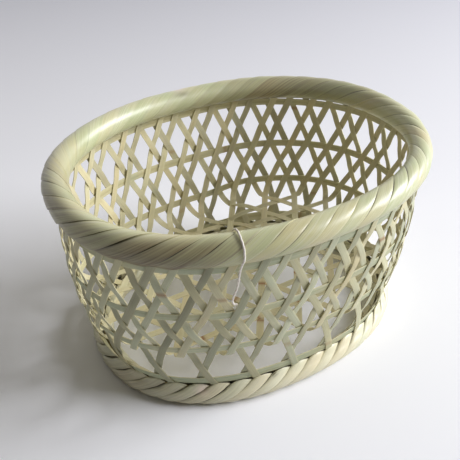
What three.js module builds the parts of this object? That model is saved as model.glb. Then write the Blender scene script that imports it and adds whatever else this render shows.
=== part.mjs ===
// Oval openwork bamboo basket for a tea bowl: a kagome floor whose splints turn up
// into the wall, hairpin foot splints between them, four hoops, and a rope-like
// wrapped rim and foot ring. Millimetres, +Z up, the origin on the table under the middle.

import * as THREE from 'three';

// Overall outside sizes
const RIM_LENGTH = 240;
const RIM_WIDTH = 187.8;
const FOOT_LENGTH = 214;
const FOOT_WIDTH = 163.2;
const BASKET_HEIGHT = 131.4;
const OVAL_POWER = 2.2;
const END_BULGE = 5;
const SIDE_BULGE = 2.5;

// Rim and foot rings
const RIM_THICKNESS = 15.6;
const RIM_BAND_COUNT = 44;
const RIM_TWIST_BANDS = 5;
const FOOT_THICKNESS = 14;
const FOOT_BAND_COUNT = 44;
const FOOT_TWIST_BANDS = 5;
const FOOT_INNER_TWIST_BANDS = 0;
const FOOT_FLAT_DEPTH = 0.5;
const FOOT_SLOT_FLOOR = 1.9;
const BAND_STEP = 0.6;
const BAND_FACE_SHARE = 0.94;
const RIM_CORE_THICKNESS = 2.1;
const RIM_CORE_WIDTH = 5;
const FOOT_CORE_THICKNESS = 1.2;
const FOOT_CORE_WIDTH = 3.8;
const CORE_CLEARANCE = 0.75;
const SLOT_CLEARANCE = 0.68;

// Splints and hoops
const SPLINT_WIDTH = 4.6;
const SPLINT_THICKNESS = 0.5;
const HOOP_WIDTH = 4.6;
const HOOP_THICKNESS = 0.5;
const LOW_HOOP_WIDTH = 5.4;
const WEAVE_GAP = 0.42;
const PAIR_SHIFT = 0.15;
const LOW_HOOP_ABOVE_FOOT = 6;
const CROSSING_ABOVE_LOW_HOOP = 10;
const FLOOR_HOOP_ABOVE_CROSSING = 20.3;
const TOP_HOOP_BELOW_RIM_CENTRE = 12.1;
const SPLINT_END_ABOVE_RIM_CENTRE = 2.4;
const SIDE_CHANGE_HEIGHT = 2;
const FOLD_INSET_PITCHES = 0.26;

// Floor
const FLOOR_BELOW_HOOP = 9.8;
const FLOOR_BEND_RADIUS = 3;
const FLOOR_INSET = 1.7;
const FLOOR_LAYER_PITCH = 0.85;
const TUCK_HEIGHT = 2.2;
const BEND_INSET_PITCHES = 0.2;

// Floor ends are counted round the wall from +X: each pair is joined by one straight splint.
// The splints of the left family mirror those of the right one.
const LONG_FLOOR_PAIRS = [[4, 17], [2, 19], [0, 21], [43, 22], [41, 24], [39, 26]];
const RIGHT_FLOOR_PAIRS = [[1, 36], [3, 34], [5, 32], [6, 30], [8, 28], [10, 27], [12, 25], [14, 23]];

// Hanging thread of the tag: over the rim in pitches round the wall and degrees round the rim,
// then down the outer side in pitches, depth below the rim's centre and offset from the wall
const THREAD_DIAMETER = 1.2;
const THREAD_SIDES = 8;
const THREAD_STEPS = 20;
const THREAD_RIM_GAP = 0.5;
const THREAD_OVER_RIM = [
  [29.44, 150], [29.46, 128], [29.50, 104], [29.52, 80], [29.55, 56], [29.58, 32], [29.59, 8], [29.58, -14],
];
const THREAD_HANGING = [
  [29.55, 6.7, 6.4], [29.51, 12.6, 4.6], [29.50, 18.8, 3.4], [29.45, 24.7, 2.8], [29.37, 29.1, 2.4],
  [29.31, 32.6, 2.3], [29.32, 34.8, 2.3], [29.39, 35.9, 2.4], [29.48, 35.9, 2.4],
];

// Counts and places that follow from the sizes above
const PAIR_COUNT = LONG_FLOOR_PAIRS.length + 2 * RIGHT_FLOOR_PAIRS.length;
const SPLINT_COUNT = 2 * PAIR_COUNT;
const FOOT_STEP = 2;
const HOOP_LAYER = (SPLINT_THICKNESS + HOOP_THICKNESS) / 2 + WEAVE_GAP;
const CROSSING_LAYER = (SPLINT_THICKNESS + WEAVE_GAP) / 2;
const FOOT_CORE_LAYER = (SPLINT_THICKNESS + FOOT_CORE_THICKNESS) / 2 + WEAVE_GAP;
const RIM_CORE_OFFSET = HOOP_LAYER + SPLINT_THICKNESS / 2 + CORE_CLEARANCE + RIM_CORE_THICKNESS / 2;
const SLOT_HALF_WIDTH = FOOT_CORE_LAYER + SPLINT_THICKNESS / 2 + SLOT_CLEARANCE;
const FOLD_BOTTOM = FOOT_SLOT_FLOOR + WEAVE_GAP;
const FOOT_CORE_BOTTOM = FOLD_BOTTOM + SPLINT_WIDTH + CORE_CLEARANCE / 2;
const rim = {
  a: (RIM_LENGTH - RIM_THICKNESS) / 2,
  b: (RIM_WIDTH - RIM_THICKNESS) / 2,
  radius: RIM_THICKNESS / 2,
  height: BASKET_HEIGHT - RIM_THICKNESS / 2,
};
const foot = {
  a: (FOOT_LENGTH - FOOT_THICKNESS) / 2,
  b: (FOOT_WIDTH - FOOT_THICKNESS) / 2,
  radius: FOOT_THICKNESS / 2,
  height: FOOT_THICKNESS / 2 - FOOT_FLAT_DEPTH,
};
const LOW_HOOP_HEIGHT = FOOT_THICKNESS + LOW_HOOP_ABOVE_FOOT;
const FOOT_CROSSING_HEIGHT = LOW_HOOP_HEIGHT + CROSSING_ABOVE_LOW_HOOP;
const FLOOR_HOOP_HEIGHT = FOOT_CROSSING_HEIGHT + FLOOR_HOOP_ABOVE_CROSSING;
const TOP_HOOP_HEIGHT = rim.height - TOP_HOOP_BELOW_RIM_CENTRE;
const MIDDLE_HOOP_HEIGHT = (FLOOR_HOOP_HEIGHT + TOP_HOOP_HEIGHT) / 2;
const FLOOR_HEIGHT = FLOOR_HOOP_HEIGHT - FLOOR_BELOW_HOOP;
const SPLINT_TOP = rim.height + SPLINT_END_ABOVE_RIM_CENTRE;

// Height of each weave level: level 0 is the crossing in the skirt, the odd ones are hoops
const LEVEL_HEIGHTS = [
  [-1, 2 * FOOT_CROSSING_HEIGHT - FLOOR_HOOP_HEIGHT], [0, FOOT_CROSSING_HEIGHT],
  [1, FLOOR_HOOP_HEIGHT], [3, MIDDLE_HOOP_HEIGHT], [5, TOP_HOOP_HEIGHT],
  [7, 2 * TOP_HOOP_HEIGHT - MIDDLE_HOOP_HEIGHT],
];

function interpolate(table, from, to, value) {
  let k = 1;
  while (k < table.length - 1 && value > table[k][from]) k += 1;
  const low = table[k - 1];
  const high = table[k];
  const share = (value - low[from]) / (high[from] - low[from]);
  return low[to] + share * (high[to] - low[to]);
}

const heightOfLevel = (level) => interpolate(LEVEL_HEIGHTS, 0, 1, level);
const levelOfHeight = (height) => interpolate(LEVEL_HEIGHTS, 1, 0, height);

// The wall is a superellipse at every height: upright in the foot ring, then out to the rim's middle line
function ovalAt(height) {
  const t = Math.max(0, (height - FOOT_THICKNESS) / (rim.height - FOOT_THICKNESS));
  const swell = 4 * t * (1 - t);
  return {
    a: foot.a + (rim.a - foot.a) * t + END_BULGE * swell,
    b: foot.b + (rim.b - foot.b) * t + SIDE_BULGE * swell,
  };
}

function ovalPoint(oval, angle) {
  const c = Math.cos(angle);
  const s = Math.sin(angle);
  const power = 2 / OVAL_POWER;
  const x = oval.a * Math.sign(c) * Math.abs(c) ** power;
  const y = oval.b * Math.sign(s) * Math.abs(s) ** power;
  return new THREE.Vector3(x, y, 0);
}

// Angle of each share of the way round, so that equal shares are equal lengths of wall
const ANGLE_STEPS = 1440;
const middleOval = ovalAt((foot.height + rim.height) / 2);
const lengthTable = [[0, 0]];
for (let k = 1; k <= ANGLE_STEPS; k += 1) {
  const before = ovalPoint(middleOval, (2 * Math.PI * (k - 1)) / ANGLE_STEPS);
  const here = ovalPoint(middleOval, (2 * Math.PI * k) / ANGLE_STEPS);
  lengthTable.push([lengthTable[k - 1][0] + before.distanceTo(here), (2 * Math.PI * k) / ANGLE_STEPS]);
}
const WALL_LENGTH = lengthTable[ANGLE_STEPS][0];
const SPLINT_PITCH = WALL_LENGTH / SPLINT_COUNT;

function angleOfShare(share) {
  const turn = share - Math.floor(share);
  const target = turn * WALL_LENGTH;
  let low = 0;
  let high = ANGLE_STEPS;
  while (high - low > 1) {
    const middle = Math.floor((low + high) / 2);
    if (lengthTable[middle][0] > target) high = middle;
    else low = middle;
  }
  const [from, to] = [lengthTable[low], lengthTable[high]];
  return from[1] + ((target - from[0]) / (to[0] - from[0])) * (to[1] - from[1]);
}

function outwardAt(oval, point) {
  const slope = (value, half) => (Math.sign(value) * Math.abs(value / half) ** (OVAL_POWER - 1)) / half;
  return new THREE.Vector3(slope(point.x, oval.a), slope(point.y, oval.b), 0).normalize();
}

// A place on the wall: position counts splint pitches round the oval, offset is outward
function wallPlace(position, height, offset = 0) {
  const oval = ovalAt(height);
  const point = ovalPoint(oval, angleOfShare(position / SPLINT_COUNT));
  const outward = outwardAt(oval, point);
  const along = new THREE.Vector3(-outward.y, outward.x, 0);
  point.addScaledVector(outward, offset);
  point.z = height;
  return { point, outward, along };
}

// Closed solid from rings of equal length: a tube when closed is true, else with two end faces
function solidFromRings(rings, closed) {
  const size = rings[0].length;
  const positions = rings.flat().flatMap((p) => [p.x, p.y, p.z]);
  const index = [];
  const spans = closed ? rings.length : rings.length - 1;
  for (let r = 0; r < spans; r += 1) {
    const next = (r + 1) % rings.length;
    for (let k = 0; k < size; k += 1) {
      const l = (k + 1) % size;
      const [p, q] = [r * size + k, r * size + l];
      const [s, t] = [next * size + k, next * size + l];
      index.push(p, q, t, p, t, s);
    }
  }
  if (!closed) {
    const last = (rings.length - 1) * size;
    for (let k = 1; k < size - 1; k += 1) {
      index.push(0, k + 1, k, last, last + k, last + k + 1);
    }
  }
  const points = rings.flat();
  let volume = 0;
  for (let k = 0; k < index.length; k += 3) {
    const [p, q, r] = [points[index[k]], points[index[k + 1]], points[index[k + 2]]];
    volume += p.dot(q.clone().cross(r)) / 6;
  }
  if (volume < 0) index.reverse();
  const geometry = new THREE.BufferGeometry();
  geometry.setAttribute('position', new THREE.Float32BufferAttribute(positions, 3));
  geometry.setIndex(index);
  geometry.computeVertexNormals();
  return geometry;
}

// Flat strip through stations that each hold a middle point, half a width and the outward side
function stripSolid(stations, thickness) {
  const rings = stations.map(({ point, half, outward }) => {
    const out = outward.clone().multiplyScalar(thickness / 2);
    const corner = (side, lift) => point.clone().addScaledVector(half, side).addScaledVector(out, lift);
    return [corner(1, -1), corner(1, 1), corner(-1, 1), corner(-1, -1)];
  });
  return solidFromRings(rings, false);
}

// Ring of rectangular section on the wall, such as a hoop or a core
function hoopSolid(height, offset, width, thickness, shift, facesPerPitch = 1) {
  const rings = [];
  const corners = [[-1, -1], [-1, 1], [1, 1], [1, -1]];
  for (let k = 0; k < SPLINT_COUNT * facesPerPitch; k += 1) {
    const position = k / facesPerPitch + shift;
    rings.push(corners.map(([lift, out]) => (
      wallPlace(position, height + (lift * width) / 2, offset + (out * thickness) / 2).point
    )));
  }
  return solidFromRings(rings, true);
}

// Lean of a splint: how far it goes sideways for its rise, near a level
function leanAt(level) {
  const rise = heightOfLevel(level + 0.5) - heightOfLevel(level - 0.5);
  return Math.atan2(SPLINT_PITCH / 2, rise);
}

const crossingReach = (level) => SPLINT_WIDTH / 2 / Math.sin(leanAt(level));

// A splint number leans right (+1) or left (-1) going up; odd numbers are the floor splints
function splintPosition(number, lean, height) {
  const shift = number % 2 === 0 ? 0 : PAIR_SHIFT;
  return number - shift + (lean * levelOfHeight(height)) / 2;
}

// Heights between which a splint keeps one layer, and the layer's offset from the wall
function layerSpans(isFloorSplint, lean) {
  const crossesLate = isFloorSplint === (lean > 0);
  const spans = [];
  for (const level of [5, 3, 1]) {
    const hoop = heightOfLevel(level);
    const crossing = heightOfLevel(level + (crossesLate ? PAIR_SHIFT : -PAIR_SHIFT));
    const reach = crossingReach(level);
    const hoopReach = HOOP_WIDTH / 2 + WEAVE_GAP / 2;
    spans.push({
      top: Math.max(hoop + hoopReach, crossing + reach),
      bottom: Math.min(hoop - hoopReach, crossing - reach),
      offset: lean * HOOP_LAYER,
    });
    if (level > 1) {
      const middle = heightOfLevel(level - 1);
      const middleReach = crossingReach(level - 1);
      spans.push({ top: middle + middleReach, bottom: middle - middleReach, offset: -lean * CROSSING_LAYER });
    }
  }
  spans[0].top = SPLINT_TOP;
  return spans;
}

function wallStation(number, lean, height, offset) {
  const place = wallPlace(splintPosition(number, lean, height), height, offset);
  const halfWidth = SPLINT_WIDTH / 2 / Math.cos(leanAt(levelOfHeight(height)));
  return { ...place, half: place.along.clone().multiplyScalar(halfWidth) };
}

function spanStations(number, lean, spans) {
  const ends = spans.flatMap((span) => [[span.top, span.offset], [span.bottom, span.offset]]);
  return ends.map(([height, offset]) => wallStation(number, lean, height, offset));
}

function reversed(stations) {
  return stations.slice().reverse().map((s) => ({ ...s, half: s.half.clone().negate() }));
}

// Leg of a foot splint: down the wall, through the skirt crossing, beside the low hoop and the foot core
function footLeg(number, lean) {
  const lowHoopTop = LOW_HOOP_HEIGHT + LOW_HOOP_WIDTH / 2 + WEAVE_GAP;
  const spans = layerSpans(false, lean);
  const coreTop = FOOT_CORE_BOTTOM + FOOT_CORE_WIDTH + CORE_CLEARANCE / 2;
  spans.push({
    top: FOOT_CROSSING_HEIGHT + crossingReach(0),
    bottom: lowHoopTop + SIDE_CHANGE_HEIGHT,
    offset: -lean * CROSSING_LAYER,
  });
  return [
    ...spanStations(number, lean, spans),
    wallStation(number, lean, lowHoopTop, -lean * HOOP_LAYER),
    wallStation(number, lean, coreTop, -lean * FOOT_CORE_LAYER),
  ];
}

// Foot splint: down leaning one way, folded under the foot core, and up leaning the other way
function footSplint(number) {
  const foldAt = (legNumber, lean) => {
    const position = splintPosition(legNumber, lean, FOOT_CORE_BOTTOM + FOOT_CORE_WIDTH);
    const inset = -lean * FOLD_INSET_PITCHES;
    const place = wallPlace(position + inset, FOLD_BOTTOM + SPLINT_WIDTH / 2, -lean * FOOT_CORE_LAYER);
    return { ...place, half: new THREE.Vector3(0, 0, SPLINT_WIDTH / 2) };
  };
  const next = number + FOOT_STEP;
  const [down, up] = [footLeg(number, -1), reversed(footLeg(next, 1))];
  return stripSolid([...down, foldAt(number, -1), foldAt(next, 1), ...up], SPLINT_THICKNESS);
}

// End of a floor splint: down the wall inside or outside the floor hoop and round into the floor
function floorSplintEnd(number, lean, layer) {
  const spans = layerSpans(true, lean);
  const bendTop = FLOOR_HEIGHT + FLOOR_BEND_RADIUS;
  spans[spans.length - 1].bottom = bendTop + TUCK_HEIGHT;
  const stations = spanStations(number, lean, spans);
  const lowest = splintPosition(number, lean, bendTop);
  const halfWidth = SPLINT_WIDTH / 2 / Math.cos(leanAt(levelOfHeight(bendTop)));
  for (const turn of [0, 0.5, 1]) {
    const angle = (turn * Math.PI) / 2;
    const radius = FLOOR_BEND_RADIUS + layer;
    const inset = -FLOOR_INSET - FLOOR_BEND_RADIUS + radius * Math.cos(angle);
    const place = wallPlace(lowest - lean * turn * BEND_INSET_PITCHES, bendTop, inset);
    place.point.z -= radius * Math.sin(angle);
    const half = place.along.clone().multiplyScalar(halfWidth);
    const outward = place.outward.clone().multiplyScalar(Math.cos(angle));
    outward.z = -Math.sin(angle);
    stations.push({ ...place, half, outward });
  }
  return stations;
}

// Even floor ends lean left going up the wall, odd ones lean right
function floorSplint(firstEnd, secondEnd, layer) {
  const end = (count) => {
    const isEven = count % 2 === 0;
    return floorSplintEnd(isEven ? count + 1 : count, isEven ? -1 : 1, layer);
  };
  const first = end(firstEnd);
  const second = end(secondEnd);
  const [from, to] = [first[first.length - 1], second[second.length - 1]];
  const across = to.point.clone().sub(from.point).setZ(0).normalize();
  const sideways = new THREE.Vector3(-across.y, across.x, 0);
  for (const station of [from, to]) {
    const share = station.along.dot(sideways);
    station.half = station.along.clone().multiplyScalar(SPLINT_WIDTH / 2 / Math.abs(share));
  }
  return stripSolid([...first, ...reversed(second)], SPLINT_THICKNESS);
}

const TOP_TURN = 0.25;
const turnOf = (out, up) => {
  const turn = Math.atan2(up, out) / (2 * Math.PI);
  return turn < -TOP_TURN ? turn + 1 : turn;
};

// How many bands the slant has gone along at a place round the ring's section, in turns from
// the outside: twist is the slant up to the top, and innerTwist from there on
function slantAt(turn, twist, innerTwist) {
  return turn < TOP_TURN ? twist * turn : twist * TOP_TURN + innerTwist * (turn - TOP_TURN);
}

// Wrapped ring: bands wound round at a slant, each standing a step over the next one
function wrappedRing(ring, bandCount, { twist, innerTwist = twist, section }) {
  const rings = [];
  for (let band = 0; band < bandCount; band += 1) {
    for (const atEnd of [false, true]) {
      const lift = atEnd ? 0 : -BAND_STEP;
      const start = atEnd ? band + BAND_FACE_SHARE : band;
      rings.push(section.map(({ out, up, lifted, turn = turnOf(out, up) }) => {
        const reach = Math.hypot(out, up);
        const scale = lifted ? (reach + lift) / reach : 1;
        const place = start + slantAt(turn, twist, innerTwist);
        const point = ovalPoint(ring, angleOfShare(place / bandCount));
        point.addScaledVector(outwardAt(ring, point), out * scale);
        point.z = Math.max(0, ring.height + up * scale);
        return point;
      }));
    }
  }
  return solidFromRings(rings, true);
}

const inRadians = (degrees) => (degrees * Math.PI) / 180;
const onCircle = (radius, degrees) => ({
  out: radius * Math.cos(inRadians(degrees)), up: radius * Math.sin(inRadians(degrees)), lifted: true,
});
const fixedCorner = (out, up, turn) => ({ out, up, turn, lifted: false });

// Rim section: open below, where the splints come in between its two cores
function rimSection() {
  const lipUp = -Math.sqrt(rim.radius ** 2 - SLOT_HALF_WIDTH ** 2);
  const outside = [-37, 0, 45, 90, 135, 180, 217].map((degrees) => onCircle(rim.radius, degrees));
  const cavityHalf = RIM_CORE_OFFSET + RIM_CORE_THICKNESS / 2 + CORE_CLEARANCE;
  const cavityBottom = -(RIM_CORE_WIDTH + CORE_CLEARANCE) / 2;
  const cavityTop = RIM_CORE_WIDTH / 2 + CORE_CLEARANCE;
  return [
    fixedCorner(SLOT_HALF_WIDTH, lipUp), ...outside, fixedCorner(-SLOT_HALF_WIDTH, lipUp),
    fixedCorner(-cavityHalf, cavityBottom), fixedCorner(-cavityHalf, cavityTop),
    fixedCorner(cavityHalf, cavityTop), fixedCorner(cavityHalf, cavityBottom),
  ];
}

// Foot section: slotted from above, flat where it rests on the table
function footSection() {
  const lipUp = Math.sqrt(foot.radius ** 2 - SLOT_HALF_WIDTH ** 2) - BAND_STEP;
  const slotUp = FOOT_SLOT_FLOOR - foot.height;
  const flatHalf = Math.sqrt(foot.radius ** 2 - foot.height ** 2);
  const [outerLip, innerLip] = [turnOf(SLOT_HALF_WIDTH, lipUp), turnOf(-SLOT_HALF_WIDTH, lipUp)];
  const innerSide = [150, 197].map((degrees) => onCircle(foot.radius, degrees));
  const outerSide = [-17, 30].map((degrees) => onCircle(foot.radius, degrees));
  return [
    fixedCorner(-SLOT_HALF_WIDTH, lipUp), ...innerSide,
    fixedCorner(-flatHalf, -foot.height), fixedCorner(flatHalf, -foot.height),
    ...outerSide, fixedCorner(SLOT_HALF_WIDTH, lipUp),
    fixedCorner(SLOT_HALF_WIDTH, slotUp, outerLip), fixedCorner(-SLOT_HALF_WIDTH, slotUp, innerLip),
  ];
}

function threadPoints() {
  const reach = rim.radius + THREAD_RIM_GAP + THREAD_DIAMETER / 2;
  const overRim = THREAD_OVER_RIM.map(([position, degrees]) => {
    const { out, up } = onCircle(reach, degrees);
    const point = ovalPoint(rim, angleOfShare(position / SPLINT_COUNT));
    point.addScaledVector(outwardAt(rim, point), out);
    point.z = rim.height + up;
    return point;
  });
  const hanging = THREAD_HANGING.map(([position, drop, offset]) => (
    wallPlace(position, rim.height - drop, offset).point
  ));
  return [...overRim, ...hanging];
}

function threadSolid() {
  const section = new THREE.Shape();
  for (let k = 0; k < THREAD_SIDES; k += 1) {
    const { out, up } = onCircle(THREAD_DIAMETER / 2, (360 * k) / THREAD_SIDES);
    if (k === 0) section.moveTo(out, up);
    else section.lineTo(out, up);
  }
  section.closePath();
  const path = new THREE.CatmullRomCurve3(threadPoints());
  return new THREE.ExtrudeGeometry(section, { steps: THREAD_STEPS, extrudePath: path, bevelEnabled: false });
}

const bamboo = (color) => new THREE.MeshStandardMaterial({ color, roughness: 0.5, metalness: 0 });
const rimMaterial = bamboo(0xb9bb8e);
const footMaterial = bamboo(0xb2ac84);
const splintMaterial = bamboo(0xa9ab86);
const floorMaterial = bamboo(0xa39f74);
const hoopMaterial = bamboo(0x9d9c77);
const coreMaterial = bamboo(0x8f8a62);
const threadMaterial = new THREE.MeshStandardMaterial({ color: 0xf2eee6, roughness: 0.85, metalness: 0 });

const basket = new THREE.Group();

function addPiece(name, geometry, material) {
  const piece = new THREE.Mesh(geometry, material);
  piece.name = name;
  basket.add(piece);
}

// Corners of the hoops and cores stand where the splints cross them
const CROSSING_SHIFT = 0.5 - PAIR_SHIFT / 2;
const LOW_HOOP_FACES_PER_PITCH = 1.5;

const rimWrap = { twist: RIM_TWIST_BANDS, section: rimSection() };
addPiece('rim_wrap', wrappedRing(rim, RIM_BAND_COUNT, rimWrap), rimMaterial);
for (const [name, offset] of [['rim_core_outer', RIM_CORE_OFFSET], ['rim_core_inner', -RIM_CORE_OFFSET]]) {
  const core = hoopSolid(rim.height, offset, RIM_CORE_WIDTH, RIM_CORE_THICKNESS, CROSSING_SHIFT);
  addPiece(name, core, coreMaterial);
}
const footWrap = { twist: FOOT_TWIST_BANDS, innerTwist: FOOT_INNER_TWIST_BANDS, section: footSection() };
addPiece('foot_wrap', wrappedRing(foot, FOOT_BAND_COUNT, footWrap), footMaterial);
const footCoreHeight = FOOT_CORE_BOTTOM + FOOT_CORE_WIDTH / 2;
const footCore = hoopSolid(footCoreHeight, 0, FOOT_CORE_WIDTH, FOOT_CORE_THICKNESS, CROSSING_SHIFT);
addPiece('foot_core', footCore, coreMaterial);

const lowHoop = hoopSolid(LOW_HOOP_HEIGHT, 0, LOW_HOOP_WIDTH, HOOP_THICKNESS, 0, LOW_HOOP_FACES_PER_PITCH);
addPiece('hoop_low', lowHoop, hoopMaterial);
const wallHoops = { floor: FLOOR_HOOP_HEIGHT, middle: MIDDLE_HOOP_HEIGHT, top: TOP_HOOP_HEIGHT };
for (const [name, height] of Object.entries(wallHoops)) {
  addPiece(`hoop_${name}`, hoopSolid(height, 0, HOOP_WIDTH, HOOP_THICKNESS, CROSSING_SHIFT), hoopMaterial);
}

for (let k = 0; k < PAIR_COUNT; k += 1) {
  addPiece(`foot_splint_${String(k + 1).padStart(2, '0')}`, footSplint(FOOT_STEP * k), splintMaterial);
}

const mirrored = (end) => (PAIR_COUNT - 1 - end + SPLINT_COUNT) % SPLINT_COUNT;
const floorFamilies = [
  ['long', LONG_FLOOR_PAIRS, 0],
  ['right', RIGHT_FLOOR_PAIRS, -FLOOR_LAYER_PITCH],
  ['left', RIGHT_FLOOR_PAIRS.map((pair) => pair.map(mirrored)), FLOOR_LAYER_PITCH],
];
for (const [family, pairs, layer] of floorFamilies) {
  pairs.forEach(([first, second], k) => {
    addPiece(`floor_splint_${family}_${k + 1}`, floorSplint(first, second, layer), floorMaterial);
  });
}
addPiece('tag_thread', threadSolid(), threadMaterial);

export default basket;
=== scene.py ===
"""Looks of the oval bamboo basket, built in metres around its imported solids."""
import math

import bpy
import numpy as np
from mathutils import Matrix, Vector


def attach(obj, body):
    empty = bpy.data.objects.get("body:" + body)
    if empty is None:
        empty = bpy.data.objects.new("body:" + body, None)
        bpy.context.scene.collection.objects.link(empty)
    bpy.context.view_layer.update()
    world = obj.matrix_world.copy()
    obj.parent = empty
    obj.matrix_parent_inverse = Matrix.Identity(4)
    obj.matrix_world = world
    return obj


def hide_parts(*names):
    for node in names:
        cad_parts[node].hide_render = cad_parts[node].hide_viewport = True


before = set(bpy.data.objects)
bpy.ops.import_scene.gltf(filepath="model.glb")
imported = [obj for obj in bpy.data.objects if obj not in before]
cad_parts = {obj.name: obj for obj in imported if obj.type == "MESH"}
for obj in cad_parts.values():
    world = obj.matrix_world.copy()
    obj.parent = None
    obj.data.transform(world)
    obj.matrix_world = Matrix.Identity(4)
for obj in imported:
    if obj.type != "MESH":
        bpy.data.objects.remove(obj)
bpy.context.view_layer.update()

MM = 0.001

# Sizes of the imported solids, in millimetres
RIM_LENGTH, RIM_WIDTH, RIM_THICKNESS = 240, 187.8, 15.6
FOOT_LENGTH, FOOT_WIDTH, FOOT_THICKNESS, FOOT_FLAT_DEPTH = 214, 163.2, 14, 0.5
BASKET_HEIGHT = 131.4
OVAL_POWER = 2.2
END_BULGE, SIDE_BULGE = 5, 2.5
SPLINT_WIDTH, HOOP_WIDTH, LOW_HOOP_WIDTH = 4.6, 4.6, 5.4
BAND_COUNT, BAND_TWIST = 44, 5
PAIR_COUNT, SPLINT_COUNT = 22, 44
LOW_HOOP, SKIRT_CROSSING, FLOOR_HOOP, TOP_HOOP = 20, 30, 50.3, 111.5
FLOOR_HEIGHT = 40.5
SPLINT_TOP = 126
LONG_PAIRS = [(4, 17), (2, 19), (0, 21), (43, 22), (41, 24), (39, 26)]
RIGHT_PAIRS = [(1, 36), (3, 34), (5, 32), (6, 30), (8, 28), (10, 27), (12, 25), (14, 23)]

RIM = {"a": (RIM_LENGTH - RIM_THICKNESS) / 2, "b": (RIM_WIDTH - RIM_THICKNESS) / 2,
       "r": RIM_THICKNESS / 2, "z": BASKET_HEIGHT - RIM_THICKNESS / 2}
FOOT = {"a": (FOOT_LENGTH - FOOT_THICKNESS) / 2, "b": (FOOT_WIDTH - FOOT_THICKNESS) / 2,
        "r": FOOT_THICKNESS / 2, "z": FOOT_THICKNESS / 2 - FOOT_FLAT_DEPTH}

# Strips as they are shown: a little thicker than the solids and closer together, in millimetres
SPLINT_THICKNESS = 0.6
HOOP_LAYER, CORE_LAYER, CROSSING_LAYER = 0.8, 0.93, 0.42
HALF_WIDTH = SPLINT_WIDTH / 2
PAIR_SHIFT = 0.2  # in pitches, by which every second splint stands nearer to its neighbour

# Where the handmade basket runs off the even solids, in millimetres
MIDDLE_HOOP = 78.6
LEFT_BULGE, RIGHT_BULGE = 3.6, 1.6
BACK_DIP, FLOOR_DIP_SHARE = 6.0, 1.2

# A splint moves half a pitch sideways from each level of the wall to the next
LEVELS = [-1, 0, 1, 3, 5, 7]
LEVEL_HEIGHTS = [2 * SKIRT_CROSSING - FLOOR_HOOP, SKIRT_CROSSING, FLOOR_HOOP, MIDDLE_HOOP, TOP_HOOP,
                 2 * TOP_HOOP - MIDDLE_HOOP]
HOOP_LEVELS = (1, 3, 5)

random = np.random.default_rng(24)


def link_object(name, data):
    obj = bpy.data.objects.new(name, data)
    bpy.context.scene.collection.objects.link(obj)
    return obj


# ---------------------------------------------------------------- camera
CAMERA_AZIMUTH, CAMERA_ELEVATION, CAMERA_ROLL = map(math.radians, (-28.503, 35.947, -1.156))
CAMERA_DISTANCE, CAMERA_TARGET = 0.41822, Vector((-0.010576, 0, 0.070004))
CAMERA_LENS, SENSOR_WIDTH, CLIP_START = 50.86, 36, 0.01


def make_camera():
    back = Vector((math.sin(CAMERA_AZIMUTH) * math.cos(CAMERA_ELEVATION),
                   -math.cos(CAMERA_AZIMUTH) * math.cos(CAMERA_ELEVATION), math.sin(CAMERA_ELEVATION)))
    right = (-back).cross(Vector((0, 0, 1))).normalized()
    up = right.cross(-back)
    right = math.cos(CAMERA_ROLL) * right + math.sin(CAMERA_ROLL) * up
    turn = Matrix((right, right.cross(-back), back)).transposed()
    data = bpy.data.cameras.new("camera")
    data.sensor_width, data.lens, data.clip_start = SENSOR_WIDTH, CAMERA_LENS, CLIP_START
    camera = link_object("camera", data)
    camera.matrix_world = Matrix.Translation(CAMERA_TARGET + back * CAMERA_DISTANCE) @ turn.to_4x4()
    bpy.context.scene.camera = camera


make_camera()


# ---------------------------------------------------------------- shape of the wall
def height_of_level(level):
    return np.interp(level, LEVELS, LEVEL_HEIGHTS)


def level_of_height(height):
    return np.interp(height, LEVEL_HEIGHTS, LEVELS)


def oval_at(height):
    """Half length and half width of the wall, which swells between foot and rim."""
    t = np.maximum(0, (height - FOOT_THICKNESS) / (RIM["z"] - FOOT_THICKNESS))
    swell = 4 * t * (1 - t)
    return (FOOT["a"] + (RIM["a"] - FOOT["a"]) * t + END_BULGE * swell,
            FOOT["b"] + (RIM["b"] - FOOT["b"]) * t + SIDE_BULGE * swell)


def oval_point(a, b, angle):
    c, s = np.cos(angle), np.sin(angle)
    power = 2 / OVAL_POWER
    return a * np.sign(c) * np.abs(c) ** power, b * np.sign(s) * np.abs(s) ** power


def oval_outward(a, b, x, y):
    gx = np.sign(x) * np.abs(x / a) ** (OVAL_POWER - 1) / a
    gy = np.sign(y) * np.abs(y / b) ** (OVAL_POWER - 1) / b
    size = np.hypot(gx, gy)
    return gx / size, gy / size


# Lengths along the oval at middle height, over which the splints are spread evenly
OVAL_ANGLES = np.linspace(0, 2 * math.pi, 2881)
middle_x, middle_y = oval_point(*oval_at((FOOT["z"] + RIM["z"]) / 2), OVAL_ANGLES)
OVAL_LENGTHS = np.concatenate([[0], np.cumsum(np.hypot(np.diff(middle_x), np.diff(middle_y)))])
WALL_LENGTH = OVAL_LENGTHS[-1]
PITCH = WALL_LENGTH / SPLINT_COUNT


def angle_of_share(share):
    return np.interp(np.mod(share, 1) * WALL_LENGTH, OVAL_LENGTHS, OVAL_ANGLES)


def smooth(t):
    t = np.clip(t, 0, 1)
    return t * t * (3 - 2 * t)


def bump_at(position, centre, width):
    """A bell round the ring of 44 pitches: 1 at the centre, 1/e at the width away from it."""
    away = np.abs((np.asarray(position, float) - centre + SPLINT_COUNT / 2) % SPLINT_COUNT - SPLINT_COUNT / 2)
    return np.exp(-(away / width) ** 2)


def bulge_at(position, height):
    """How far the wall stands out beyond the even oval, at its left and right ends."""
    t = np.clip((height - FOOT_THICKNESS) / (RIM["z"] - FOOT_THICKNESS), 0, 1)
    ends = LEFT_BULGE * bump_at(position, 21, 5.5) + RIGHT_BULGE * bump_at(position, 41, 5)
    return ends * (1 - t) ** 0.8 * np.minimum(1, t / 0.12) ** 0.5


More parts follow.
